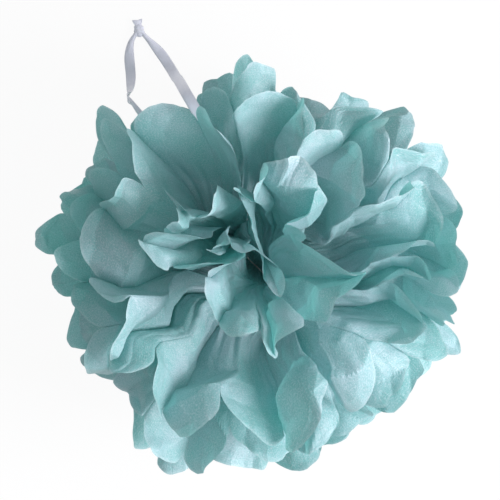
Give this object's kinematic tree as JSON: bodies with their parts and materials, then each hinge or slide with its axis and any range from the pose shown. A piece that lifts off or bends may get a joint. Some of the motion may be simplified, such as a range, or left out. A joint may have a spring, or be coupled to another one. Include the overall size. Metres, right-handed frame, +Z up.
{
  "type": "tissue paper pom pom",
  "caption": "Round pom pom of gathered tissue paper sheets with frilled, rounded petals, tied in the middle with wire and hung by a knotted satin ribbon loop.",
  "frame": {"origin": "middle of the footprint of the paper ball, on the table it lies on", "axes": "+Z up along the pole axis of the ball, square to the tied neck; +X to the right and +Y towards the knot's end of the ribbon as seen from above"},
  "size_m": [0.2506, 0.2794, 0.2376],
  "materials": {
    "tissue_paper": "matte tissue, crumpled",
    "satin_ribbon": "satin",
    "binding_wire": "bare wire"
  },
  "bodies": {
    "root": {"tissue_sheet_1": "tissue_paper", "tissue_sheet_2": "tissue_paper", "tissue_sheet_3": "tissue_paper", "tissue_sheet_4": "tissue_paper", "tissue_sheet_5": "tissue_paper", "tissue_sheet_6": "tissue_paper", "tissue_sheet_7": "tissue_paper", "tissue_sheet_8": "tissue_paper", "binding_wire": "binding_wire", "hanging_ribbon": "satin_ribbon"}
  },
  "joints": []
}
